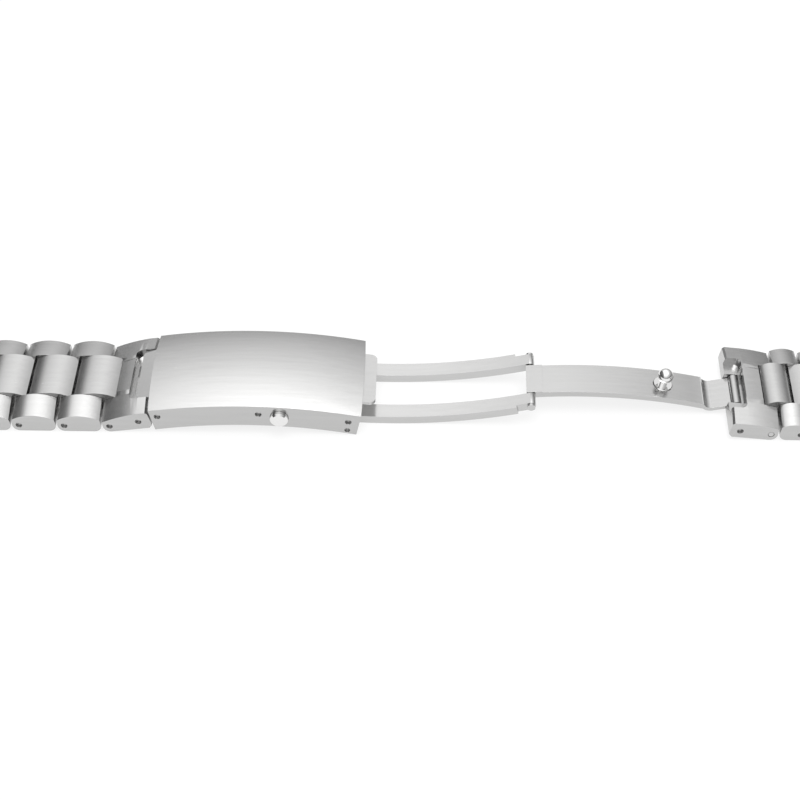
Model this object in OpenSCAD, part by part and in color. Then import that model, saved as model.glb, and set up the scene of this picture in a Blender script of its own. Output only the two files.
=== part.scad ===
// Steel bracelet for a wristwatch, with a folding push-button clasp and a fold-out extension.
// It lies open on its wrist side, as a jeweller lays it down: +X runs along the bracelet towards
// the blade of the clasp, Y across it and +Z up, away from the wrist.
// Most profiles are drawn in the XZ plane and extruded across the bracelet. A profile point is
// [along, up]; in a link, "along" is counted from its clasp-side pin, away from the clasp.

/* [Bracelet] */
// Width of the bracelet
band_w = 20; // [18:0.5:24]
// Distance from link pin to link pin
link_pitch = 8.4; // [7.6:0.1:10]
// Full links on each side of the clasp
links_per_side = 5; // [5:1:5]
// Distance between the pins of the short link
short_pitch = 5.4; // [5:0.1:7]
// Height of a link pin above the wrist side
pin_height = 1.4; // [1.3:0.05:1.6]
// Diameter of the link pins
pin_d = 1.0; // [0.8:0.05:1.1]
// How far the pin ends lie below the side faces
pin_recess = 0.5; // [0.3:0.05:0.8]
// Diameter of the pin holes' mouths in the side faces
mouth_d = 1.2; // [1.15:0.05:1.3]

/* [Links] */
// Top width of a side block
side_top_w = 4.9; // [4.2:0.1:5.5]
// Width of a side block on the wrist side
side_under_w = 3.65; // [3:0.05:4]
// Width of the middle block on the wrist side
mid_under_w = 5.2; // [4.4:0.1:6]
// Height of a side block at its crown, on the bracelet's side face
side_crown = 3.95; // [3.8:0.05:4.4]
// Slope of the side blocks' tops, down towards the side faces, in degrees
side_slope = 10; // [4:0.5:12]
// How much lower a side block is at its ends than at its crown
side_drop = 1.15; // [0.6:0.05:1.4]
// Height of the centre plate at its crown
plate_crown = 5.0; // [4.8:0.05:5.3]
// How much lower the centre plate is at its ends
plate_drop = 1.1; // [0.6:0.05:1.4]
// How far a block reaches beyond its far pin
end_r = 1.25; // [1.2:0.05:1.35]
// Radius of the lower corner at the other end of a block
foot_r = 1.4; // [0.8:0.1:1.5]
// Radius of the knuckle that turns on the pin
knuckle_r = 0.95; // [0.85:0.05:1]
// Gap between the ends of two side blocks
block_seam = 0.3; // [0.25:0.05:0.5]
// Gap between the ends of two centre plates
plate_seam = 0.25; // [0.2:0.05:0.4]
// Distance of the press rod from the block's clasp-side end
rod_inset = 2.2; // [1.8:0.1:3]

/* [Clasp cover] */
// Length of the cover along its top
cover_l = 39; // [36:0.5:44]
// Radius of the cover's curved top
cover_r = 100; // [90:1:120]
// Height of the cover's side walls
cover_t = 4.9; // [4.8:0.05:5.4]
// How much higher the cover is along its middle than at its sides
cover_rise = 1.2; // [1:0.05:1.5]
// Thickness of the cover's top at its sides
top_t = 0.75; // [0.6:0.05:0.8]
// Thickness of the cover's side walls
wall_t = 2.3; // [1.8:0.1:2.6]
// Tilt of the cover as it lies, blade end down, in degrees
cover_tilt = 1.08; // [0:0.02:1.5]
// Distance of the extension's hinge from the cover's end
ext_hinge_in = 1.6; // [1.5:0.1:2.5]
// Distance of the cross pin from the middle of the cover
cross_pin_x = 0.7; // [0.5:0.1:1]
// Distance of the latch plate's pins from the cover's end
latch_pin_in = 2.4; // [2.2:0.1:3]
// Distance of the fork's hinge from the cover's end
fork_hinge_in = 2.6; // [2.5:0.1:3.5]

/* [Buttons and latch] */
// Distance of the push buttons from the middle of the cover
button_x = 4.5; // [4.2:0.1:4.6]
// Diameter of a push button
button_d = 3.3; // [2.8:0.1:3.5]
// How far a button stands out of the side wall
button_out = 0.9; // [0.85:0.05:1.2]
// Travel of a button
button_travel = 0.8; // [0.6:0.05:0.8]
// Width of the tabs at both ends of the clasp
tab_w = 12.6; // [11:0.1:13]
// How far the latch plate's tab stands out of the cover
tab_out = 2.4; // [2:0.1:2.6]
// Thickness of the tabs
tab_t = 0.65; // [0.5:0.05:0.7]
// Length of the oval slot in the latch plate
slot_l = 5.3; // [4.4:0.1:5.8]
// Width of the oval slot in the latch plate
slot_w = 3.7; // [3.3:0.1:4.2]

/* [Fork and blade] */
// How much shorter the fork is, pin to pin, than the cover
fork_short = 5.15; // [4.8:0.05:6]
// Width of one arm of the fork
fork_arm_w = 3.2; // [2.8:0.1:3.4]
// Thickness of the fork's arms
fork_t = 1.7; // [1.4:0.05:1.8]
// Rise of the open fork, pin to pin, in degrees
fork_rise = 5.57; // [4:0.1:7]
// Thickness of the blade
blade_t = 1.2; // [1:0.05:1.3]
// Thickness of the blade's neck
neck_t = 0.75; // [0.6:0.05:0.85]
// Distance of the stud from the middle of the cover with the clasp shut
stud_x = 7.45; // [7.3:0.05:7.8]
// Diameter of the stud's head
stud_d = 2.9; // [2.6:0.05:3]
// Diameter of the stud's stem
stem_d = 1.6; // [1.3:0.05:1.7]
// Diameter of the stud's collar
collar_d = 3.7; // [3:0.1:4]

/* [End piece and connecting link] */
// Distance between the pins of the end piece
end_piece_l = 5.75; // [5.5:0.05:7]
// Height of the end piece at its open end
end_piece_h = 3.5; // [3.3:0.05:3.7]
// Tilt of the end piece as it lies, open end up, in degrees
end_piece_tilt = 6; // [4:0.5:8]
// Distance between the pins of the connecting link
conn_l = 5.6; // [5.2:0.05:7]
// Height of the connecting link at its clasp end
conn_h = 3.9; // [3.6:0.05:4.1]
// Distance from the end piece's clasp-side pin to its clasp end
end_lead = 1.85; // [1.7:0.05:2]
// Distance from the connecting link's clasp-side pin to its clasp end
conn_lead = 2.25; // [1.8:0.05:2.4]
// Bevel along the top of their clasp ends
end_bevel = 0.35; // [0.3:0.05:0.5]
// Depth of the end piece's notch for the tab
end_notch = 3; // [2.85:0.05:3.3]
// Depth of the connecting link's notch for the tab
conn_notch = 3.9; // [3.4:0.05:4.1]

/* [Extension] */
// Thickness of the extension plate
plate_a_t = 0.9; // [0.7:0.05:0.9]
// Thickness of the extension arm
arm_b_t = 0.8; // [0.6:0.05:0.8]
// Width of the extension arm
arm_b_w = 7.1; // [6.4:0.1:7.1]
// Distance of the folded extension's inner hinge from the middle of the cover
inner_hinge_x = 1.0; // [0.9:0.1:1.4]
// Diameter of the keyhole in the extension arm
keyhole_d = 2.8; // [2.4:0.1:3.2]
// Distance of the keyhole from the inner hinge
keyhole_s = 5.3; // [4.5:0.1:7]

/* [End links and spring bars] */
// Width between the lugs of the watch case
lug_w = 20; // [18:0.5:24]
// Distance from the end link's pin to the spring bar
lug_l = 6.4; // [6:0.1:8]
// Radius of the end link's nose
nose_r = 1.95; // [1.8:0.05:2.1]
// Diameter of the spring bar's tube
bar_d = 1.7; // [1.5:0.05:1.8]
// Diameter of the spring bar's tips
tip_d = 0.8; // [0.7:0.05:0.9]
// How far a tip stands out of the end link
tip_out = 0.95; // [0.8:0.05:1.2]

/* [Hidden] */
$fn = 64;
arc_fn = 720;

// Clearances
run = 0.05;
snug = 0.02;
side_play = 0.06;
seat = 0.1;

// Rows across a link
half_w = band_w / 2;
y_plate = half_w - side_top_w;
y_over = y_plate + side_play;
y_side = half_w - side_under_w;
y_mid = mid_under_w / 2;
y_tongue_in = y_mid + side_play;
y_tongue_out = y_side - side_play;
side_rise = (half_w - y_plate) * tan(side_slope);
plate_floor = knuckle_r + run;
tongue_top = 0.75;
over_floor = knuckle_r + 0.1;
mouth_depth = pin_recess + 0.25;
rod_depth = 1.2;
mid_top = 0.7;
tongue_floor = 0.1 - pin_height;
end_lean = 7;
plate_lean = 5;
big = 60;

// Radii of the clasp's layers, all round one centre far below the cover
r_edge = cover_r - cover_t;
r_ceiling = cover_r - top_t;
r_bay = r_ceiling + 0.9;
cross_r = (half_w * half_w + cover_rise * cover_rise) / (2 * cover_rise);
half_a = asin(cover_l / 2 / cover_r);
arc_c = r_edge * cos(half_a);
r_fork = r_edge - run + fork_t / 2;
r_blade = r_fork - 0.1;
r_latch = r_fork + fork_t / 2 + seat;
latch_t = 0.4;
r_catch = r_latch + latch_t + run;
catch_t = 0.4;
r_head = r_catch + catch_t + run;
r_spring = r_ceiling - 0.85;
r_button = r_ceiling - button_d / 2 - 0.2;
r_leaf_a = r_ceiling - plate_a_t / 2 - 0.5;
r_leaf_b = r_leaf_a - plate_a_t / 2 - arm_b_t / 2 - 0.25;
inner_w = band_w - 2 * wall_t;
fork_w = inner_w - 1.4;
fork_gap = fork_w - 2 * fork_arm_w;
blade_w = fork_gap - 0.5;
leaf_a_w = inner_w - 1.2;
leaf_gap = arm_b_w / 2 + 0.15;
knuckle_big = fork_t / 2;
blade_block = 0.7;
neck_knuckle = 1.0;
leaf_knuckle = 0.8;
arm_knuckle = 0.75;
arm_end_r = 0.85;

function on_arc(r, x) = [x, sqrt(r * r - x * x) - arc_c];
function on_ray(r, a) = [r * sin(a), r * cos(a) - arc_c];
function turn(p, a) = [p.x * cos(a) - p.y * sin(a), p.x * sin(a) + p.y * cos(a)];
function place(o, a, p) = o + turn(p, a);
function slope(p, q) = atan2(q.y - p.y, q.x - p.x);
function beyond_cover(gap, up) = (gap + (up + arc_c) * sin(half_a)) / cos(half_a);
function dome_r(x0, x1, drop) = (pow((x1 - x0) / 2, 2) + drop * drop) / (2 * drop);

// Hinges in the cover's own frame, with the clasp shut and the extension folded
hinge_gap = 0.27;
ext_hinge_x = cover_l / 2 - ext_hinge_in;
latch_pin_x = cover_l / 2 - latch_pin_in;
fork_hinge_x = cover_l / 2 - fork_hinge_in;
fork_l = cover_l - fork_short;
fork_pin = on_arc(r_fork, fork_hinge_x);
fork_a = asin(fork_hinge_x / r_fork);
blade_a = fork_a - 2 * asin(fork_l / 2 / r_fork);
blade_pin = on_ray(r_fork, blade_a);
end_pin_up = 2.1;
end_pin = [beyond_cover(end_lead + hinge_gap, end_pin_up), end_pin_up];
conn_pin_up = 1.95;
stud_a = asin(stud_x / r_blade);
latch_pin = [latch_pin_x, 3.25];
cross_pin = on_arc(r_ceiling - 1.28, cross_pin_x);
ext_pin = on_arc(r_leaf_a, -ext_hinge_x);
inner_pin = on_arc(r_leaf_a - plate_a_t / 2 - 0.1, -inner_hinge_x);
conn_pin = [-beyond_cover(conn_lead + hinge_gap, conn_pin_up), conn_pin_up];

// The same hinges as the bracelet lies open, in a frame below the middle of the cover
cover_o = [0, cover_l / 2 * r_edge / cover_r * sin(cover_tilt)];
function lying(p) = place(cover_o, -cover_tilt, p);
fork_o = lying(fork_pin);
blade_o = fork_o + turn([fork_l, 0], fork_rise);
fork_open = fork_rise + cover_tilt - slope(fork_pin, blade_pin);
end_pin_h = 1.6;
end_local = [end_piece_l, pin_height - end_pin_h];
end_o_z = pin_height - turn(end_local, -end_piece_tilt).y;
blade_l = norm(end_pin - blade_pin);
end_o = [blade_o.x + sqrt(pow(blade_l, 2) - pow(blade_o.y - end_o_z, 2)), end_o_z];
blade_open = slope(blade_o, end_o) + cover_tilt - slope(blade_pin, end_pin);
short_o = place(end_o, -end_piece_tilt, end_local);
chain_r = short_o.x + short_pitch;
conn_o = lying(conn_pin);
conn_pin_h = 1.85;
conn_local = [conn_l, pin_height - conn_pin_h];
conn_tilt = asin((conn_o.y - pin_height) / norm(conn_local)) + slope([0, 0], conn_local);
chain_l = -(conn_o.x - place([0, 0], -conn_tilt, conn_local).x);
shift = (chain_l - chain_r) / 2;

steel = [0.72, 0.72, 0.73];
steel_dark = [0.6, 0.6, 0.61];
steel_bright = [0.82, 0.82, 0.83];

// Extrudes a profile in the XZ plane from y0 to y1
module slab(y0, y1) rotate([90, 0, 0]) translate([0, 0, -y1]) linear_extrude(y1 - y0) children();
// The same profile on both sides of the middle
module slab_pair(y0, y1) {
  slab(y0, y1) children();
  slab(-y1, -y0) children();
}
module across(w) slab(-w / 2, w / 2) children();
module mirror_y(s) {
  if (s < 0) mirror([0, 1, 0]) children();
  else children();
}
module at(o, a) translate([o.x, 0, o.y]) rotate([0, -a, 0]) children();
module in_frame() translate([shift, 0, 0]) children();
module in_cover() in_frame() at(cover_o, -cover_tilt) children();
// A link of the blade side, or its mirror image on the extension side
module on_side(side, o, a) in_frame() translate([side * o.x, 0, o.y]) {
  if (side > 0) rotate([0, -a, 0]) children();
  else mirror([1, 0, 0]) rotate([0, -a, 0]) children();
}
module half_plane_below(h) translate([-big, h - 2 * big]) square(2 * big);
module bar(p, q, t) {
  translate(p) rotate(slope(p, q)) translate([0, -t / 2]) square([norm(q - p), t]);
}
// A band between two radii and two angles, measured from straight up towards +X
module arc_band(r0, r1, a0, a1) translate([0, -arc_c]) difference() {
  intersection() {
    circle(r1, $fn = arc_fn);
    polygon([[0, 0], 2 * r1 * [sin(a0), cos(a0)], 2 * r1 * [sin(a1), cos(a1)]]);
  }
  circle(r0, $fn = arc_fn);
}
function angle_at(r, x) = asin(x / r);

// Profile of a block from x0 to x1, still without its dome, with leaning ends above lean_from
lean_from = 0.2;
module block_profile(x0, x1) {
  top = plate_crown - pin_height;
  lean = tan(end_lean) * (top - lean_from);
  far = x1 - pin_height;
  translate([x0 + foot_r, -pin_height]) square([far - x0 - foot_r, plate_crown]);
  translate([x0 + foot_r, foot_r - pin_height]) circle(foot_r);
  translate([far, 0]) circle(pin_height);
  polygon([
    [x0, foot_r - pin_height], [x0, lean_from], [x0 + lean, top],
    [x1 - lean, top], [x1, lean_from], [x1, 0], [far, foot_r - pin_height]
  ]);
}
// Round of a dome that is crown high in its middle and lower by drop at x0 and x1
module dome(x0, x1, crown, drop) {
  r = dome_r(x0, x1, drop);
  translate([(x0 + x1) / 2, crown - pin_height - r]) circle(r, $fn = 256);
}
// Gives its children, extruded from the middle row outwards, the slope of the side rows. On the
// side face they keep their own height, z being the height there.
module sloped(s, z) mirror_y(s) translate([0, half_w, z]) rotate([-side_slope, 0, 0])
  translate([0, -half_w, -z]) slab(y_plate - 1, half_w + 1) children();
module sloped_dome(x0, x1, crown, drop)
  for (s = [-1, 1]) sloped(s, crown - pin_height) dome(x0, x1, crown, drop);
module pin_hole(x, play) translate([x, 0]) circle(pin_d / 2 + play);
// Wide mouths of the pin hole at p, in both side faces
module mouths(p) slab_pair(half_w - mouth_depth, half_w + 1) translate(p) circle(mouth_d / 2);

// Two side blocks. Their tops reach inwards over the tongues, and the press rod ends inside them.
module side_blocks(pitch) color(steel) difference() {
  x0 = end_r + block_seam;
  x1 = pitch + end_r;
  intersection() {
    union() {
      slab_pair(y_side, half_w) block_profile(x0, x1);
      slab_pair(y_over, y_side + seat) difference() {
        block_profile(x0, x1);
        half_plane_below(over_floor);
      }
    }
    sloped_dome(x0, x1, side_crown, side_drop);
  }
  across(band_w + 2) pin_hole(pitch, snug);
  across(band_w - 2 * rod_depth) pin_hole(x0 + rod_inset, snug);
  mouths([pitch, 0]);
}

// All that lies beyond a plate's end face, which leans back above the plate's floor
module beyond_face(x) polygon([
  [x, -big], [x, plate_floor], [x - big * tan(plate_lean), plate_floor + big],
  [2 * big, plate_floor + big], [2 * big, -big]
]);
// Top outline of the centre plate, over its whole length
module plate_profile(x1, floor) difference() {
  x0 = -knuckle_r;
  intersection() {
    translate([x0, floor]) square([x1 - x0, plate_crown]);
    dome(x0, x1, plate_crown, plate_drop);
  }
  beyond_face(x1);
  mirror([1, 0]) beyond_face(-x0);
}
// Tongue that runs from its knuckle on the pin to x1
module tongue_profile(x1) {
  circle(knuckle_r);
  polygon([
    turn([knuckle_r, 0], 225), [knuckle_r * 0.9, tongue_floor], [x1 - 0.4, tongue_floor],
    [x1, tongue_floor + 0.4], [x1, tongue_top], [0, tongue_top]
  ]);
}
// Centre plate with its two ridged tongues
module connector(pitch) color(steel_bright) difference() {
  x1 = pitch - knuckle_r - plate_seam;
  union() {
    across(2 * y_tongue_in) plate_profile(x1, plate_floor);
    slab_pair(y_tongue_in - seat, y_plate) plate_profile(x1, plate_floor);
    slab_pair(y_tongue_in, y_plate) {
      plate_profile(x1, 0);
      tongue_profile(x1);
    }
    slab_pair(y_plate - seat, y_tongue_out) tongue_profile(x1);
  }
  across(band_w) {
    pin_hole(0, run);
    pin_hole(end_r + block_seam + rod_inset, snug);
  }
  slab_pair((y_tongue_in + y_tongue_out) / 2 - 0.4, (y_tongue_in + y_tongue_out) / 2 + 0.4)
    translate([-2, tongue_floor - 1]) square([pitch + 2, 1.2]);
}
// Middle block of the wrist side, under the centre plates
module mid_profile(x0, x1) {
  intersection() {
    block_profile(x0, x1);
    union() {
      translate([x0 - 1, -big]) square([x1 - end_r - x0 + 1, big + mid_top]);
      half_plane_below(0);
      translate([x1 - end_r, 0]) circle(knuckle_r);
    }
  }
}
module mid_block(pitch) color(steel_dark) across(mid_under_w) difference() {
  x0 = end_r + block_seam;
  mid_profile(x0, pitch + end_r);
  pin_hole(pitch, snug);
  pin_hole(x0 + rod_inset, snug);
}
module rod(p, depth) across(band_w - 2 * depth) translate(p) circle(pin_d / 2);

function chain(side, i) = [(side > 0 ? chain_r : chain_l) + (i - 1) * link_pitch, pin_height];
module link_sides(side, i) on_side(side, chain(side, i), 0) side_blocks(link_pitch);
module link_centre(side, i) on_side(side, chain(side, i), 0) {
  connector(link_pitch);
  mid_block(link_pitch);
}
module link_pins(side, i) color(steel_dark) on_side(side, chain(side, i), 0) {
  rod([link_pitch, 0], pin_recess);
  rod([end_r + block_seam + rod_inset, 0], rod_depth + snug);
}

// Short link, milled from one piece, with tongues, cross bar and three lobes
short_drop = side_drop * 0.7;
module short_link() color(steel) on_side(1, short_o, 0) {
  x0 = end_r + block_seam;
  x1 = short_pitch + end_r;
  xp = short_pitch - knuckle_r - plate_seam;
  difference() {
    union() {
      intersection() {
        union() {
          slab_pair(y_side, half_w) block_profile(x0, x1);
          slab_pair(y_over, y_side + seat) difference() {
            block_profile(x0, x1);
            half_plane_below(over_floor);
          }
        }
        sloped_dome(x0, x1, side_crown, short_drop);
      }
      across(2 * y_plate) plate_profile(xp, plate_floor);
      slab_pair(y_tongue_in, y_plate) {
        plate_profile(xp, 0);
        tongue_profile(xp);
      }
      slab_pair(y_plate - seat, y_tongue_out) tongue_profile(xp);
      across(mid_under_w) mid_profile(x0, x1);
      across(2 * y_side + 0.2) translate([x0 + 0.1, tongue_floor])
        square([xp - x0 - 0.1, tongue_top - tongue_floor]);
    }
    across(band_w + 2) pin_hole(short_pitch, snug);
    across(band_w) pin_hole(0, run);
    mouths([short_pitch, 0]);
  }
}
module short_link_pin() color(steel_dark) on_side(1, short_o, 0) rod([short_pitch, 0], pin_recess);

// Link between the clasp and the chain: a notch with a slot towards the clasp, and three lobes
// with two slots towards the chain. Its origin is the clasp-side pin, h0 above its wrist side.
end_face_lean = 5;
lead_chamfer = 0.6;
roll_r = 30;
module joining_profile(lead, spacing, h0, h, tilt) {
  end_x = spacing + end_r;
  far = [end_x - pin_height, pin_height - h0];
  lean = tan(end_face_lean);
  c = lead_chamfer;
  intersection() {
    difference() {
      polygon([
        [-lead + c, -h0], [-lead, c - h0], [-lead, 0], [-lead + (h - h0) * lean, h - h0],
        [end_x - 0.2, h - h0], [end_x, far.y], [end_x, -h0]
      ]);
      difference() {
        translate([far.x, far.y - 3 * pin_height]) square([2 * pin_height, 3 * pin_height]);
        translate(far) circle(pin_height);
      }
    }
    translate([spacing, far.y]) rotate(tilt) translate([-big, -pin_height]) square(2 * big);
  }
}
// Outline of a joining link's top: a bevel, a flat up to the crease and a long roll down
module top_profile(lead, h, crease, a0) intersection() {
  x0 = -lead + h * tan(end_face_lean);
  polygon([
    [x0 - 1, h - end_bevel - 1], [x0 + end_bevel, h], [big, h], [big, -2 * h], [x0 - 1, -2 * h]
  ]);
  union() {
    translate([-big + crease - lead, -big]) square([big, 2 * big]);
    translate([crease - lead - roll_r * sin(a0), h - roll_r * cos(a0)]) circle(roll_r, $fn = 360);
  }
}
end_crease = 3.25;
end_roll = 1.5;
conn_crease = 2.1;
conn_roll = 4;
notch_up = 0.95;
notch_corner = 1;
slot_play = 0.15;
module joining_link(lead, spacing, h0, h, crease, a0, notch, slot_half, tilt) {
  far = [spacing, pin_height - h0];
  notch_half = tab_w / 2 + seat;
  back = neck_knuckle + 0.25;
  xp = spacing - knuckle_r - plate_seam;
  difference() {
    intersection() {
      across(band_w) joining_profile(lead, spacing, h0, h + side_rise, tilt);
      union() {
        across(2 * y_plate) top_profile(lead, h - h0 + side_rise, crease, a0);
        for (s = [-1, 1]) sloped(s, h - h0) top_profile(lead, h - h0, crease, a0);
      }
    }
    intersection() {
      across(2 * notch_half) translate([-lead - 2, notch_up]) square([notch + 2, h]);
      linear_extrude(3 * h, center = true) {
        translate([-lead - 2, -notch_half])
          square([notch + 2 - notch_corner, 2 * notch_half]);
        translate([-lead - 2, notch_corner - notch_half])
          square([notch + 2, 2 * notch_half - 2 * notch_corner]);
        for (s = [-1, 1]) translate([notch - lead - notch_corner, s * (notch_half - notch_corner)])
          circle(notch_corner);
      }
    }
    across(2 * slot_half) translate([-lead - 2, -h]) square([lead + 2 + back, 3 * h]);
    slab_pair(y_mid, y_over) translate([0, far.y]) beyond_face(xp);
    slab_pair(y_over - seat, y_side) translate([xp, -big + far.y + over_floor]) square(big);
    across(2 * y_mid + 1) translate([0, far.y]) difference() {
      beyond_face(xp + snug);
      half_plane_below(0);
      translate([xp - 1, -1]) square([spacing - xp + 1, 1 + mid_top]);
      translate([spacing, 0]) circle(knuckle_r);
    }
    across(band_w + 2) {
      pin_hole(0, snug);
      translate(far) pin_hole(0, snug);
    }
    mouths([0, 0]);
    mouths(far);
  }
}

module end_piece() color(steel) on_side(1, end_o, -end_piece_tilt)
  joining_link(end_lead, end_piece_l, end_pin_h, end_piece_h, end_crease, end_roll, end_notch,
    blade_w / 2 + slot_play, end_piece_tilt);
module end_piece_pins() color(steel_dark) on_side(1, end_o, -end_piece_tilt) {
  rod([0, 0], pin_recess);
  rod(end_local, run);
}
conn_side = [-conn_o.x, conn_o.y];
module connecting_link() color(steel) on_side(-1, conn_side, -conn_tilt)
  joining_link(conn_lead, conn_l, conn_pin_h, conn_h, conn_crease, conn_roll, conn_notch,
    arm_b_w / 2 + slot_play, conn_tilt);
module connecting_link_pins() color(steel_dark) on_side(-1, conn_side, -conn_tilt) {
  rod([0, 0], pin_recess);
  rod(conn_local, pin_recess);
}

// Curved cover: a channel with open ends and an open wrist side
stop_t = 0.8;
module clasp_cover() color(steel) in_cover() difference() {
  union() {
    difference() {
      intersection() {
        across(2 * band_w) arc_band(r_edge, cover_r + 2 * cover_rise, -half_a, half_a);
        translate([0, 0, -arc_c]) rotate([90, 0, 0]) rotate_extrude($fn = arc_fn) intersection() {
          translate([r_edge - 1, -half_w]) square([cover_t + 2 * cover_rise + 1, band_w]);
          translate([cover_r + cover_rise - cross_r, 0]) circle(cross_r, $fn = 360);
        }
      }
      across(inner_w) arc_band(r_edge - 1, r_ceiling, -2 * half_a, 2 * half_a);
      across(tab_w + 2 * seat) arc_band(r_ceiling - 1, r_bay,
        angle_at(r_ceiling, button_x + 1), 2 * half_a);
    }
    across(stop_t) arc_band(r_catch + catch_t + seat, r_ceiling + 0.1,
      angle_at(r_spring, button_x - 0.7), angle_at(r_spring, button_x + 0.7));
  }
  across(band_w + 2) {
    for (p = [fork_pin, latch_pin, cross_pin, ext_pin]) translate(p) circle(pin_d / 2 + snug);
    translate(on_arc(r_button, button_x)) circle(button_d / 2 + run);
  }
  for (p = [latch_pin, cross_pin, ext_pin]) mouths(p);
}
module cover_pins() color(steel_dark) in_cover() {
  across(band_w - 2 * pin_recess) {
    translate(ext_pin) circle(pin_d / 2);
    translate(cross_pin) circle(pin_d / 2);
  }
  slab_pair(blade_w / 2 + 0.35, half_w - pin_recess) translate(fork_pin) circle(pin_d / 2);
  slab_pair(blade_w / 2 + ear_in, half_w - pin_recess) translate(latch_pin) circle(pin_d / 2);
}

// Latch plate: a curved floor with an oval slot, stepped up to a flat tab that leaves the cover
latch_x0 = 2.4;
latch_step_x = cover_l / 2 - 6.1;
tab_end_x = cover_l / 2 + tab_out;
tab_fall = 6.5;
tab_corner = 1.2;
ear_r = 0.9;
ear_in = 0.9;
tab_bend = on_arc(r_bay - seat, cover_l / 2 - 1.1);
tab_tip = tab_bend + (tab_end_x - tab_bend.x) * [1, -tan(tab_fall)];
// Outline of a tab, seen from above, with rounded corners at tip
module tab_outline(tip) {
  translate([0, -tab_w / 2]) square([tip - tab_corner, tab_w]);
  translate([0, tab_corner - tab_w / 2]) square([tip, tab_w - 2 * tab_corner]);
  for (s = [-1, 1]) translate([tip - tab_corner, s * (tab_w / 2 - tab_corner)]) circle(tab_corner);
}
module latch_plate() color(steel_bright) in_cover() {
  r_tab = r_bay - seat;
  difference() {
    union() {
      across(inner_w - 2 * run) arc_band(r_latch, r_latch + latch_t,
        angle_at(r_latch, latch_x0), angle_at(r_latch, latch_step_x + 0.6));
      across(inner_w - 2 * run - 3.3) arc_band(r_latch, r_latch + 3.5 * latch_t,
        angle_at(r_latch, latch_x0 - 0.4), angle_at(r_latch, latch_x0 + 0.1));
      across(tab_w) {
        arc_band(r_latch, r_tab,
          angle_at(r_latch, latch_step_x), angle_at(r_latch, latch_step_x + 0.6));
        arc_band(r_tab - tab_t, r_tab,
          angle_at(r_tab, latch_step_x), angle_at(r_tab, tab_bend.x + 0.05));
      }
      intersection() {
        across(tab_w) polygon([
          tab_bend, tab_tip, tab_tip - [0, tab_t], tab_bend - [0, tab_t]
        ]);
        linear_extrude(big, center = true) {
          tab_outline(tab_end_x);
        }
      }
      slab_pair(blade_w / 2 + ear_in, tab_w / 2) {
        translate(latch_pin) circle(ear_r);
        intersection() {
          translate([latch_pin.x - ear_r, latch_pin.y]) square([2 * ear_r, cover_t]);
          arc_band(r_latch, r_tab - tab_t / 2, 0, half_a);
        }
      }
    }
    across(band_w) translate(latch_pin) circle(pin_d / 2 + snug);
    on_stud_at(r_latch - 1) linear_extrude(2 + latch_t) {
      square([slot_l - slot_w, slot_w], center = true);
      for (s = [-1, 1]) translate([s * (slot_l - slot_w) / 2, 0]) circle(slot_w / 2);
    }
  }
}
// Frame at radius r on the shut stud's axis
module on_stud_at(r) translate([0, 0, -arc_c]) rotate([0, stud_a, 0]) translate([0, 0, r])
  children();

// Push button: a round cap in the wall, a stem and a shoulder that stops it inside
cap_in = button_travel + run;
cap_bevel = 0.25;
button_stem_r = 0.7;
shoulder_t = 0.45;
shoulder_half = 2.2;
module push_button(s) color(steel_bright) in_cover() {
  y_wall = inner_w / 2;
  c = on_arc(r_button, button_x);
  mirror_y(s) {
    slab(y_wall + cap_in, half_w + button_out - cap_bevel) translate(c) circle(button_d / 2);
    translate([c.x, half_w + button_out - cap_bevel, c.y]) rotate([-90, 0, 0])
      cylinder(h = cap_bevel, r1 = button_d / 2, r2 = button_d / 2 - 1.2 * cap_bevel);
    slab(y_wall - seat, y_wall + cap_in + seat) translate(on_arc(r_button + 0.6, button_x))
      circle(button_stem_r);
    slab(y_wall - run - shoulder_t, y_wall - run)
      arc_band(r_catch + catch_t / 4, r_ceiling - 2 * run,
        angle_at(r_spring, button_x - shoulder_half), angle_at(r_spring, button_x + shoulder_half));
  }
}
// Catch plates: each button carries a hook that grips the stem from the far side
jaw = stem_d / 2 + run;
hook_w = 1.75;
arm_w = 1.6;
bridge_w = 2.5;
hook_out = stud_d / 2 + 0.5;
module catch_outline(right) {
  y_end = inner_w / 2 - run - shoulder_t;
  arm0 = button_x - r_catch * sin(stud_a) - jaw;
  arm1 = -hook_out;
  if (!right) {
    translate([arm0, -jaw - hook_w]) square([arm1 - arm0, y_end + jaw + hook_w]);
    translate([arm0, -jaw - hook_w]) square([-seat - arm0, hook_w]);
  } else {
    translate([arm0, y_end - bridge_w]) square([hook_out + arm_w - arm0, bridge_w]);
    translate([hook_out, -jaw - hook_w]) square([arm_w, y_end + jaw + hook_w]);
    translate([seat, -jaw - hook_w]) square([hook_out + arm_w - seat, hook_w]);
  }
}
module catch_plate(s) color(steel_dark) in_cover() on_stud_at(r_catch) mirror_y(s)
  linear_extrude(catch_t) catch_outline(s > 0);

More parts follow.
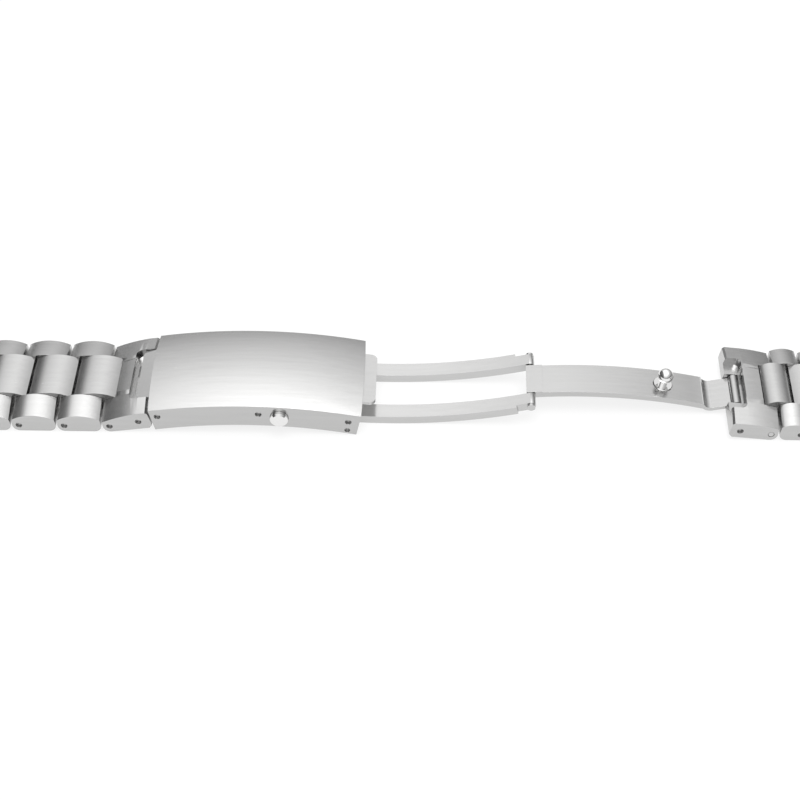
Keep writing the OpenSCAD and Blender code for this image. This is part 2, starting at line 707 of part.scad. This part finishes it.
// Coil spring between a button's shoulder and the stop under the cover's top
spring_turns = 7;
spring_r = 0.5;
wire_d = 0.24;
spring_steps = 10;
wire_sides = 5;
function coil_point(t, y0, y1, k) = let(
  a = 360 * spring_turns * t,
  b = 360 * k / wire_sides,
  r = spring_r + wire_d / 2 * cos(b)
) [r * cos(a), y0 + (y1 - y0) * t + wire_d / 2 * sin(b), r * sin(a)];
module button_spring(s) color(steel_bright) in_cover() {
  y0 = stop_t / 2 + wire_d / 2 + snug;
  y1 = inner_w / 2 - run - shoulder_t - wire_d / 2 - snug;
  n = spring_turns * spring_steps;
  c = on_arc(r_spring, button_x);
  points = [for (i = [0:n], k = [0:wire_sides - 1]) coil_point(i / n, y0, y1, k)];
  skin = [for (i = [0:n - 1], k = [0:wire_sides - 1]) let(
    a = i * wire_sides + k,
    b = i * wire_sides + (k + 1) % wire_sides
  ) each [[a, b, b + wire_sides], [a, b + wire_sides, a + wire_sides]]];
  first = [for (k = [wire_sides - 1:-1:0]) k];
  last = [for (k = [0:wire_sides - 1]) n * wire_sides + k];
  translate([c.x, 0, c.y]) rotate([0, 0, s > 0 ? 0 : 180])
    polyhedron(concat(points), concat(skin, [first, last]));
}

// Fork: two arms and a cross bar, drawn shut in the cover and swung open round its hinge
bar_c = fork_pin + [-0.6, 0.5];
bar_r = 0.42;
shoulder_cut = 0.6;
shoulder_l = 2.6;
module swung(pin, a) translate([pin.x, 0, pin.y]) rotate([0, -a, 0])
  translate([-pin.x, 0, -pin.y]) children();
module fork() color(steel) in_cover() swung(fork_pin, fork_open) difference() {
  union() {
    slab_pair(fork_gap / 2, fork_w / 2) {
      arc_band(r_fork - fork_t / 2, r_fork + fork_t / 2, blade_a, fork_a);
      translate(fork_pin) circle(knuckle_big);
      translate(blade_pin) circle(knuckle_big);
    }
    across(fork_gap + 1) translate(bar_c) circle(bar_r);
  }
  slab_pair(blade_w / 2 + 0.2, fork_w) translate(fork_pin) circle(pin_d / 2 + run);
  across(fork_w) translate(blade_pin) circle(pin_d / 2 + snug);
  slab_pair(fork_w / 2 - shoulder_cut, fork_w) {
    arc_band(r_fork - 5, r_fork + 5, blade_a - 5, blade_a + shoulder_l / r_fork * 180 / PI);
  }
}
module blade_hinge_pin() color(steel_dark) in_cover() swung(fork_pin, fork_open) {
  across(fork_w - 2 * shoulder_cut) translate(blade_pin) circle(pin_d / 2);
  slab_pair(fork_w / 2 - shoulder_cut, fork_w / 2 - 0.1) translate(blade_pin)
    circle(knuckle_big - 0.1);
}

// Blade: an arched strip whose thin neck dips under the fork's cross bar and rises to its pin
neck_c = [fork_pin.x - 0.55, fork_pin.y + 1.3];
neck_in = 1.35;
neck_mid = neck_in + neck_t / 2;
neck_end_a = slope(neck_c, end_pin) + asin(neck_mid / norm(end_pin - neck_c)) - 90;
neck_end = neck_c + neck_mid * [cos(neck_end_a), sin(neck_end_a)];
blade_end_x = neck_c.x - 1.2;
module blade_shut() {
  blade_end_a = angle_at(r_blade, blade_end_x);
  block_a = (blade_block + run) / r_blade * 180 / PI;
  low = on_arc(r_blade - blade_t / 2, blade_end_x);
  difference() {
    union() {
      arc_band(r_blade - blade_t / 2, r_blade + blade_t / 2, blade_a, blade_end_a);
      arc_band(r_blade - blade_t / 2, r_fork + blade_block, blade_a - block_a,
        blade_a + 3 * block_a);
      translate(end_pin) circle(neck_knuckle);
      bar(neck_end, end_pin, neck_t - 2 * snug);
      intersection() {
        translate(neck_c) circle(neck_in + neck_t);
        translate(neck_c) polygon([
          [0, 0], 4 * [cos(neck_end_a + 2), sin(neck_end_a + 2)], [0, -4], [-4, -4], [-4, -1.2]
        ]);
      }
      polygon([low, neck_c - [0, neck_in + neck_t], neck_c - [0, neck_in], low + [0, 0.5]]);
    }
    translate(neck_c) circle(neck_in);
    translate(blade_pin) circle(pin_d / 2 + run);
    translate(end_pin) circle(pin_d / 2 + run);
  }
}
module with_blade() in_frame() at(blade_o, blade_open - cover_tilt)
  translate([-blade_pin.x, 0, -blade_pin.y]) children();
module blade() color(steel) with_blade() difference() {
  across(blade_w) blade_shut();
  on_stud_at(r_blade - blade_t) cylinder(d = stem_d + 2 * snug, h = 2 * blade_t);
}
// Stud: a shank riveted through the blade, a collar, a stem and a domed head
module locking_stud() color(steel_bright) with_blade() {
  r0 = r_blade + blade_t / 2;
  head_top = r_bay - seat;
  on_stud_at(0) intersection() {
    rotate_extrude() polygon([
      [0, r_blade - blade_t / 2], [stem_d / 2, r_blade - blade_t / 2],
      [stem_d / 2, r0 + snug], [collar_d / 2, r0 + snug], [collar_d / 2 - 0.15, r0 + 0.2],
      [stem_d / 2, r0 + 0.2], [stem_d / 2, r_head], [stud_d / 2, r_head],
      [stud_d / 2, head_top + 1], [0, head_top + 1]
    ]);
    union() {
      translate([0, 0, head_top - stud_d / 2]) sphere(d = stud_d);
      translate([0, 0, r0 - 5]) cylinder(r = 4, h = r_head - r0 + 5);
    }
  }
}

// Extension plate, hinged in the cover's end, with side knuckles at both ends
module extension_plate() color(steel) in_cover() {
  a0 = angle_at(r_leaf_a, -ext_hinge_x);
  a1 = angle_at(r_leaf_a, -inner_hinge_x);
  r0 = r_leaf_a - plate_a_t / 2;
  r1 = r_leaf_a + plate_a_t / 2;
  cut = (leaf_knuckle + 0.3) / r_leaf_a * 180 / PI;
  difference() {
    union() {
      across(leaf_a_w) arc_band(r0, r1, a0 + cut, a1 - cut);
      slab_pair(leaf_gap, leaf_a_w / 2) {
        arc_band(r0, r1, a0, a1);
        translate(ext_pin) circle(leaf_knuckle);
        translate(inner_pin) circle(leaf_knuckle);
      }
    }
    across(band_w) {
      translate(ext_pin) circle(pin_d / 2 + run);
      translate(inner_pin) circle(pin_d / 2 + snug);
    }
    on_key(r0 - 1) cylinder(r = rivet_r + snug, h = 4);
  }
}
rivet_r = 0.6;
keyhole_a = angle_at(r_leaf_b, -inner_hinge_x - keyhole_s);
module on_key(r) translate([0, 0, -arc_c]) rotate([0, keyhole_a, 0]) translate([0, 0, r])
  children();
// Inner hinge pin and the button that snaps into the arm's keyhole
module extension_plate_pins() color(steel_dark) in_cover() {
  across(leaf_a_w) translate(inner_pin) circle(pin_d / 2);
  on_key(0) rotate_extrude() polygon([
    [0, r_leaf_b - arm_b_t / 4], [keyhole_d / 2 - 0.25, r_leaf_b - arm_b_t / 4],
    [keyhole_d / 2 - 0.25, r_leaf_a - plate_a_t / 2 - snug],
    [rivet_r, r_leaf_a - plate_a_t / 2 - snug], [rivet_r, r_leaf_a + plate_a_t / 2 - snug],
    [0, r_leaf_a + plate_a_t / 2 - snug]
  ]);
}
// Extension arm: folded under the plate, with a slit keyhole, a pin end and a tab on top
arm_tab_out = 2.75;
arm_tab_top = 4.8;
arm_tab_drop = 0.75;
module extension_arm() color(steel_bright) in_cover() {
  r0 = r_leaf_b - arm_b_t / 2;
  r1 = r_leaf_b + arm_b_t / 2;
  a_end = angle_at(r_leaf_b, conn_pin.x + 0.5);
  tab_x0 = -beyond_cover(0.2, arm_tab_top);
  tab_x1 = -cover_l / 2 - arm_tab_out;
  riser_x = tab_x0 - 0.8;
  difference() {
    union() {
      across(arm_b_w) {
        arc_band(r0, r1, a_end, angle_at(r_leaf_b, -inner_hinge_x));
        translate(inner_pin) circle(arm_knuckle);
        translate(conn_pin) circle(arm_end_r);
        polygon([
          [tab_x0, conn_pin.y], [tab_x0, arm_tab_top - 0.1],
          [riser_x, arm_tab_top - 0.4], [riser_x, conn_pin.y]
        ]);
      }
      intersection() {
        across(tab_w) polygon([
          [tab_x0, arm_tab_top], [tab_x0, arm_tab_top - tab_t],
          [tab_x1, arm_tab_top - tab_t - arm_tab_drop], [tab_x1, arm_tab_top - arm_tab_drop]
        ]);
        linear_extrude(big, center = true) mirror([1, 0]) {
          tab_outline(-tab_x1);
        }
      }
    }
    across(band_w) {
      translate(inner_pin) circle(pin_d / 2 + run);
      translate(conn_pin) circle(pin_d / 2 + run);
    }
    on_key(r0 - 1) cylinder(d = keyhole_d, h = arm_b_t + 2);
    across(0.35) arc_band(r0 - 1, r1 + 0.1, angle_at(r_leaf_b, conn_pin.x + 2.2), keyhole_a);
  }
}

// End link for straight lugs, with a bore for the spring bar behind its round nose
nose_up = nose_r - pin_height;
lug_half = lug_w / 2 - seat;
module end_link(side) color(steel) on_side(side, chain(side, links_per_side + 1), 0) difference() {
  x0 = end_r + block_seam;
  x1 = lug_l + nose_r;
  union() {
    across(2 * lug_half) translate([lug_l, nose_up]) circle(nose_r);
    intersection() {
      across(2 * lug_half) intersection() {
        block_profile(x0, x1);
        translate([0, -pin_height]) square([lug_l, plate_crown]);
      }
      union() {
        sloped_dome(x0, x1, side_crown, side_drop);
        across(2 * y_plate) dome(x0, x1, side_crown + side_rise, side_drop);
      }
    }
    across(2 * y_plate) intersection() {
      plate_profile(x1, plate_floor);
      translate([-end_r, 0]) square([end_r + lug_l, plate_crown]);
    }
    slab_pair(y_tongue_in, y_plate) {
      intersection() {
        plate_profile(x1, 0);
        translate([-end_r, 0]) square([end_r + x0 + 1, plate_crown]);
      }
      tongue_profile(x0 + 1);
    }
    slab_pair(y_plate - seat, y_tongue_out) tongue_profile(x0 + 1);
  }
  across(band_w) pin_hole(0, run);
  across(band_w + 2) translate([lug_l, nose_up]) circle(bar_d / 2 + run);
  slab_pair(y_plate, y_over) translate([-1, bar_d + 0.1]) square([x1 + 1, plate_crown]);
}
module spring_bar(side) on_side(side, chain(side, links_per_side + 1), 0)
  translate([lug_l, 0, nose_up]) children();
tube_half = lug_half - 0.3;
module spring_bar_tube(side) color(steel_bright) spring_bar(side) across(2 * tube_half)
  difference() {
    circle(bar_d / 2);
    circle(tip_shank_r + snug);
  }
tip_shank_r = bar_d / 2 - 0.24;
module spring_bar_tip(side, s) color(steel_dark) spring_bar(side) mirror_y(s) {
  slab(tube_half - 4, lug_half) circle(tip_shank_r);
  slab(lug_half - seat, lug_half + tip_out) circle(tip_d / 2);
}

clasp_cover();
latch_plate();
cover_pins();
push_button(-1);  // push_button_near
push_button(1);  // push_button_far
catch_plate(-1);  // catch_plate_near
catch_plate(1);  // catch_plate_far
button_spring(-1);  // button_spring_near
button_spring(1);  // button_spring_far
fork();
blade_hinge_pin();
blade();
locking_stud();
end_piece();
end_piece_pins();
extension_plate();
extension_plate_pins();
extension_arm();
connecting_link();
connecting_link_pins();
short_link();
short_link_pin();
link_sides(-1, 1);  // ext_link_1_side_blocks
link_centre(-1, 1);  // ext_link_1_centre
link_pins(-1, 1);  // ext_link_1_pins
link_sides(-1, 2);  // ext_link_2_side_blocks
link_centre(-1, 2);  // ext_link_2_centre
link_pins(-1, 2);  // ext_link_2_pins
link_sides(-1, 3);  // ext_link_3_side_blocks
link_centre(-1, 3);  // ext_link_3_centre
link_pins(-1, 3);  // ext_link_3_pins
link_sides(-1, 4);  // ext_link_4_side_blocks
link_centre(-1, 4);  // ext_link_4_centre
link_pins(-1, 4);  // ext_link_4_pins
link_sides(-1, 5);  // ext_link_5_side_blocks
link_centre(-1, 5);  // ext_link_5_centre
link_pins(-1, 5);  // ext_link_5_pins
link_sides(1, 1);  // blade_link_1_side_blocks
link_centre(1, 1);  // blade_link_1_centre
link_pins(1, 1);  // blade_link_1_pins
link_sides(1, 2);  // blade_link_2_side_blocks
link_centre(1, 2);  // blade_link_2_centre
link_pins(1, 2);  // blade_link_2_pins
link_sides(1, 3);  // blade_link_3_side_blocks
link_centre(1, 3);  // blade_link_3_centre
link_pins(1, 3);  // blade_link_3_pins
link_sides(1, 4);  // blade_link_4_side_blocks
link_centre(1, 4);  // blade_link_4_centre
link_pins(1, 4);  // blade_link_4_pins
link_sides(1, 5);  // blade_link_5_side_blocks
link_centre(1, 5);  // blade_link_5_centre
link_pins(1, 5);  // blade_link_5_pins
end_link(-1);  // ext_end_link
spring_bar_tube(-1);  // ext_spring_bar_tube
spring_bar_tip(-1, -1);  // ext_spring_bar_tip_near
spring_bar_tip(-1, 1);  // ext_spring_bar_tip_far
end_link(1);  // blade_end_link
spring_bar_tube(1);  // blade_spring_bar_tube
spring_bar_tip(1, -1);  // blade_spring_bar_tip_near
spring_bar_tip(1, 1);  // blade_spring_bar_tip_far
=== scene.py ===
import math
import bpy
from mathutils import Euler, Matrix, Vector

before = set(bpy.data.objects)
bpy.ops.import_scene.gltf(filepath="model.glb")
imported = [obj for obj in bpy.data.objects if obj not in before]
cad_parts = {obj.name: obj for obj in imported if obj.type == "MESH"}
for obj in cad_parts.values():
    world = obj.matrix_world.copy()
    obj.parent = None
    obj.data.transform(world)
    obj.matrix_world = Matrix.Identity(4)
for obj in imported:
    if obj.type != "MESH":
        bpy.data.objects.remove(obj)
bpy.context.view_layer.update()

# Steel bracelet, open on a white table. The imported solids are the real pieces. Here they get
# broken edges, brushed and polished steel, and the table, light and camera of a product photo.

mm = 0.001
print("frame loaded:", len(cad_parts), "nodes")


# Shader maths: a socket that can be added, subtracted and multiplied in plain Python
class Wire:
    def __init__(self, graph, socket):
        self.graph = graph
        self.socket = socket

    def math(self, operation, first, second):
        node = self.graph.add("Math", {"operation": operation}, {0: first, 1: second})
        return self.graph.out(node)

    def __add__(self, other):
        return self.math("ADD", self, other)

    def __radd__(self, other):
        return self.math("ADD", other, self)

    def __sub__(self, other):
        return self.math("SUBTRACT", self, other)

    def __rsub__(self, other):
        return self.math("SUBTRACT", other, self)

    def __mul__(self, other):
        return self.math("MULTIPLY", self, other)

    def __rmul__(self, other):
        return self.math("MULTIPLY", other, self)

    def max(self, other):
        return self.math("MAXIMUM", self, other)


class Graph:
    def __init__(self, tree):
        self.tree = tree
        tree.nodes.clear()

    # Adds a node. Its settings are set first, then its sockets, by name or by number.
    def add(self, kind, settings, sockets):
        node = self.tree.nodes.new("ShaderNode" + kind)
        for name, value in settings.items():
            if name == "stops":
                self.fillRamp(node.color_ramp, value)
            else:
                setattr(node, name, value)
        for key, value in sockets.items():
            socket = self.findInput(node, key)
            if isinstance(value, Wire):
                self.tree.links.new(value.socket, socket)
            else:
                socket.default_value = value
        return node

    def findInput(self, node, key):
        if isinstance(key, int):
            return node.inputs[key]
        return next(socket for socket in node.inputs if socket.name == key and socket.enabled)

    def out(self, node, name=None):
        if name:
            return Wire(self, node.outputs[name])
        return Wire(self, next(socket for socket in node.outputs if socket.enabled))

    # A ramp can't be emptied, so its last element becomes the first stop
    def fillRamp(self, ramp, stops):
        while len(ramp.elements) > 1:
            ramp.elements.remove(ramp.elements[0])
        (firstPosition, firstLevel), *others = stops
        ramp.elements[0].position = firstPosition
        ramp.elements[0].color = grey(firstLevel)
        for position, level in others:
            element = ramp.elements.new(position)
            element.color = grey(level)

    def scaled(self, vector, scale):
        return self.out(self.add("VectorMath", {"operation": "MULTIPLY"}, {0: vector, 1: scale}))


def grey(level):
    return (level, level, level, 1)


def tinted(level, tint):
    return (*[level * share for share in tint], 1)


def newMaterial(name):
    material = bpy.data.materials.new(name)
    material.use_nodes = True
    return material, Graph(material.node_tree)


# Steel finishes. grain is the number of brush lines per metre along X, Y and Z, line the share
# by which the lines change the tone, and cut how strongly they show in the relief.
steel = {
    "brushed": {"tone": 0.52, "rough": 0.25, "grain": (120, 6500, 6500), "line": 0.10, "cut": 0.06},
    "plate": {"tone": 0.56, "rough": 0.22, "grain": (120, 5200, 5200), "line": 0.08, "cut": 0.04},
    "inside": {"tone": 0.50, "rough": 0.33, "grain": (300, 900, 900), "line": 0.08, "cut": 0.03},
    "pinEnd": {"tone": 0.56, "rough": 0.24, "grain": (2500, 2500, 2500), "line": 0.08, "cut": 0.0},
    "polished": {"tone": 0.80, "rough": 0.08, "grain": (900, 900, 900), "line": 0.02, "cut": 0.0},
    "spring": {"tone": 0.62, "rough": 0.28, "grain": (900, 900, 900), "line": 0.05, "cut": 0.0},
}

# The grain is two noises laid over each other. scale is a share of the finish's grain.
grainLayers = {
    "fine": {"scale": 1.0, "detail": 2.0, "weight": 0.45},
    "broad": {"scale": 0.24, "detail": 3.0, "weight": 0.55},
}
grainMiddle = 0.5
grainSpread = 0.12  # how far the lines change the roughness
cutDepth = 0.02 * mm
darkTint = (1.0, 0.996, 0.99)
brightTint = (1.0, 0.998, 0.994)


def grainLayer(graph, place, grain, layer):
    spot = graph.scaled(place, [layer["scale"] * n for n in grain])
    node = graph.add("TexNoise", {}, {"Vector": spot, "Scale": 1.0, "Detail": layer["detail"]})
    return layer["weight"] * graph.out(node, "Fac")


def steelMaterial(name):
    look = steel[name]
    material, graph = newMaterial("steel" + name[0].upper() + name[1:])
    place = graph.out(graph.add("TexCoord", {}, {}), "Object")
    fine = grainLayer(graph, place, look["grain"], grainLayers["fine"])
    broad = grainLayer(graph, place, look["grain"], grainLayers["broad"])
    lines = fine + broad
    color = graph.out(graph.add("Mix", {"data_type": "RGBA"}, {
        "Factor": lines,
        "A": tinted(look["tone"] * (1 - look["line"]), darkTint),
        "B": tinted(look["tone"] * (1 + look["line"]), brightTint),
    }))
    sockets = {
        "Base Color": color,
        "Metallic": 1.0,
        "Roughness": look["rough"] + grainSpread * (lines - grainMiddle),
    }
    if look["cut"]:
        bump = graph.add("Bump", {}, {"Strength": look["cut"], "Distance": cutDepth, "Height": lines})
        sockets["Normal"] = graph.out(bump)
    surface = graph.out(graph.add("BsdfPrincipled", {}, sockets))
    graph.add("OutputMaterial", {}, {"Surface": surface})
    return material


finishes = {name: steelMaterial(name) for name in steel}
print("finishes:", len(finishes))

# Which finish and how broad a broken edge, in millimetres, each kind of piece has. The first
# word that the piece's name contains is used.
pieceLooks = [
    ("spring_bar_tip", "polished", 0.0),
    ("spring_bar_tube", "pinEnd", 0.0),
    ("button_spring", "spring", 0.0),
    ("_pin", "pinEnd", 0.0),
    ("push_button", "polished", 0.0),
    ("locking_stud", "polished", 0.0),
    ("catch_plate", "inside", 0.04),
    ("latch_plate", "plate", 0.10),
    ("extension", "plate", 0.10),
    ("clasp_cover", "brushed", 0.12),
    ("fork", "plate", 0.12),
    ("", "brushed", 0.14),
]

# Angles in degrees: faces that differ by less than flatTurn become one, and an edge that turns
# by more than sharpTurn is broken
edgeWork = {"weldGap": 0.001, "flatTurn": 0.4, "sharpTurn": 32, "segments": 2, "faceWeight": 80}


def breakEdges(piece, width):
    weld = piece.modifiers.new("weld", "WELD")
    weld.merge_threshold = edgeWork["weldGap"] * mm
    flats = piece.modifiers.new("flats", "DECIMATE")
    flats.decimate_type = "DISSOLVE"
    flats.angle_limit = math.radians(edgeWork["flatTurn"])
    edge = piece.modifiers.new("brokenEdge", "BEVEL")
    edge.width = width * mm
    edge.segments = edgeWork["segments"]
    edge.limit_method = "ANGLE"
    edge.angle_limit = math.radians(edgeWork["sharpTurn"])
    edge.use_clamp_overlap = True
    shade = piece.modifiers.new("shade", "WEIGHTED_NORMAL")
    shade.keep_sharp = False
    shade.weight = edgeWork["faceWeight"]


for nodeName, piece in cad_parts.items():
    finish, edgeWidth = next(look for word, *look in pieceLooks if word in nodeName)
    piece.data.materials.clear()
    piece.data.materials.append(finishes[finish])
    if edgeWidth:
        breakEdges(piece, edgeWidth)
print("pieces finished")

# Table, just under the pieces so that no face of theirs lies in its surface
table = {"size": 12.0, "top": -0.02 * mm, "tone": 0.9, "rough": 0.9, "glow": 0.80}


def makeTable():
    bpy.ops.mesh.primitive_plane_add(size=table["size"], location=(0, 0, table["top"]))
    top = bpy.context.object
    top.name = "tableTop"
    material, graph = newMaterial("whiteTable")
    matt = graph.add("BsdfPrincipled", {}, {
        "Roughness": table["rough"],
        "Base Color": grey(table["tone"]),
    })
    glow = graph.add("Emission", {}, {"Strength": 1.0})
    ray = graph.add("LightPath", {}, {})
    direct = graph.out(ray, "Is Camera Ray").max(graph.out(ray, "Is Glossy Ray"))
    seen = direct.max(graph.out(ray, "Is Transmission Ray"))
    mix = graph.add("MixShader", {}, {
        0: seen * table["glow"],
        1: graph.out(matt),
        2: graph.out(glow),
    })
    graph.add("OutputMaterial", {}, {"Surface": graph.out(mix)})
    top.data.materials.append(material)


makeTable()

# Studio room. It is brightest overhead, falls off towards the horizon, and has a dark side on
# the left. The stops go from the horizon up, and from left to right.
room = {
    "power": 2.2,
    "riseStops": [(0.0, 0.12), (0.30, 0.30), (0.44, 0.42), (0.71, 0.60), (0.90, 0.84), (1.0, 1.0)],
    "sideStops": [(0.0, 0.16), (0.19, 0.20), (0.26, 0.95), (0.5, 1.0), (0.75, 0.70), (1.0, 0.45)],
}


def makeRoom():
    world = bpy.data.worlds.new("studio")
    bpy.context.scene.world = world
    world.use_nodes = True
    graph = Graph(world.node_tree)
    direction = graph.out(graph.add("TexCoord", {}, {}), "Generated")
    axes = graph.add("SeparateXYZ", {}, {"Vector": direction})
    rise = graph.add("ValToRGB", {"stops": room["riseStops"]}, {"Fac": graph.out(axes, "Z")})
    # X runs from -1 to 1, and a ramp from 0 to 1
    across = 0.5 * graph.out(axes, "X") + 0.5
    side = graph.add("ValToRGB", {"stops": room["sideStops"]}, {"Fac": across})
    level = graph.out(rise, "Color") * graph.out(side, "Color") * room["power"]
    back = graph.add("Background", {}, {"Color": grey(1), "Strength": level})
    graph.add("OutputWorld", {}, {"Surface": graph.out(back)})


makeRoom()

lamp = {"name": "overhead", "at": (0.05, -0.10, 0.60), "target": (0, 0, 0), "size": 0.4, "power": 1.6}


def makeLamp():
    data = bpy.data.lights.new(lamp["name"], "AREA")
    data.size = lamp["size"]
    data.energy = lamp["power"]
    light = bpy.data.objects.new(lamp["name"], data)
    bpy.context.scene.collection.objects.link(light)
    light.location = lamp["at"]
    aim = Vector(lamp["target"]) - light.location
    light.rotation_euler = aim.to_track_quat("-Z", "Y").to_euler()


makeLamp()
print("studio lit")

# Camera at the photograph's angle: place in millimetres, turn in degrees
cameraPlan = {
    "at": (-1.45, -228.43, 232.9),
    "turn": (44.343, 0.595, 1.556),
    "lens": 78.12,
    "sensor": 36,
    "nearest": 0.01,
    "farthest": 10,
}


def makeCamera():
    data = bpy.data.cameras.new("photoCamera")
    data.sensor_width = cameraPlan["sensor"]
    data.lens = cameraPlan["lens"]
    data.clip_start = cameraPlan["nearest"]
    data.clip_end = cameraPlan["farthest"]
    camera = bpy.data.objects.new("photoCamera", data)
    bpy.context.scene.collection.objects.link(camera)
    camera.location = [mm * n for n in cameraPlan["at"]]
    camera.rotation_euler = Euler([math.radians(n) for n in cameraPlan["turn"]], "XYZ")
    bpy.context.scene.camera = camera


makeCamera()
bpy.context.scene.view_settings.view_transform = "Standard"
